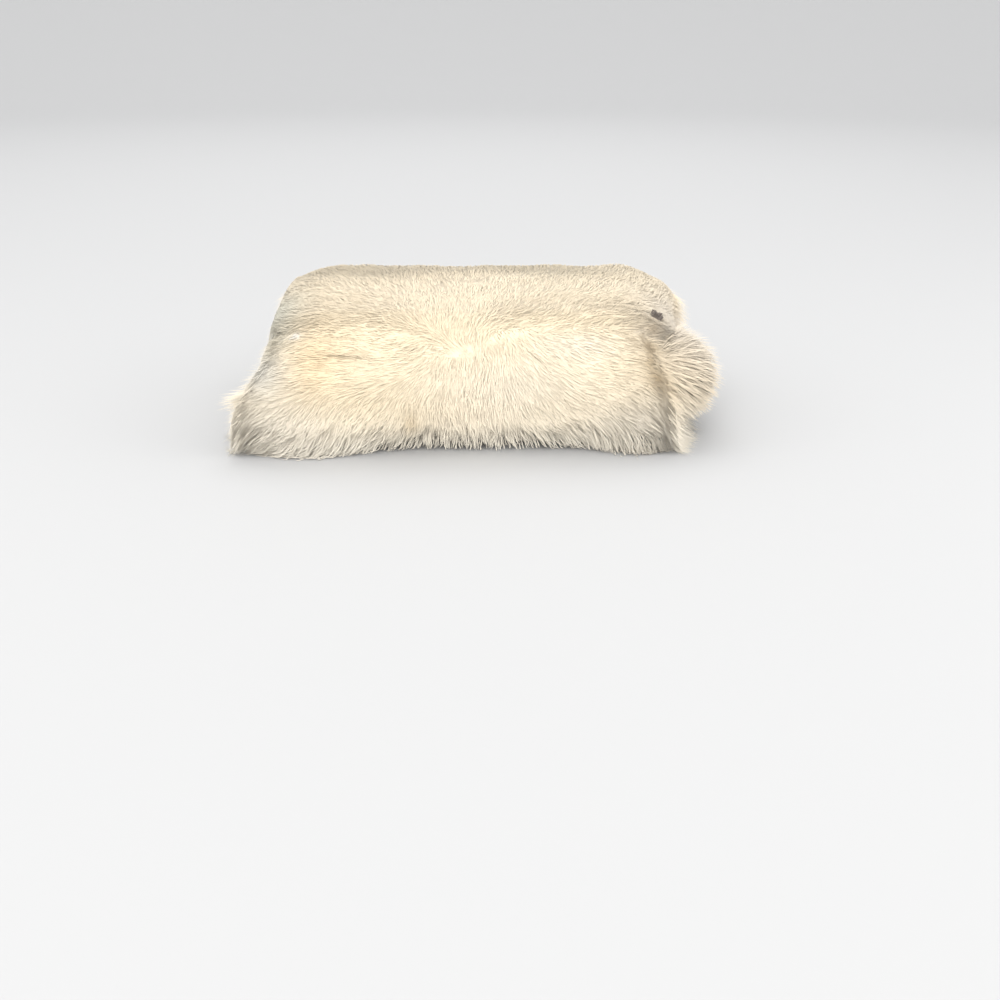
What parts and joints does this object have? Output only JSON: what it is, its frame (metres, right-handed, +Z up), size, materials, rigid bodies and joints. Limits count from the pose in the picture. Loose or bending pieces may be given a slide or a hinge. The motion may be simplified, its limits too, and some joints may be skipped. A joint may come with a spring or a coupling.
{
  "type": "folded double sheepskin",
  "caption": "Long-wool sheepskin throw of pelts sewn end to end, folded in layers with the wool outside, resting flat as a soft shaggy bundle.",
  "frame": {"origin": "bottom centre of the whole model's box, on the surface that the sheepskin lies on", "axes": "+X to the right along the folds as seen from the front, +Y from the front fold with the seam to the back folds, +Z up"},
  "size_m": [0.7828, 0.4382, 0.2041],
  "materials": {
    "cream_wool": "long silky wool, matt with a soft sheen",
    "tanned_leather": "napped flesh side, matt"
  },
  "bodies": {
    "root": {"hide_lower": "tanned_leather", "fleece_lower": "cream_wool", "hide_upper": "tanned_leather", "fleece_upper": "cream_wool"}
  },
  "joints": []
}
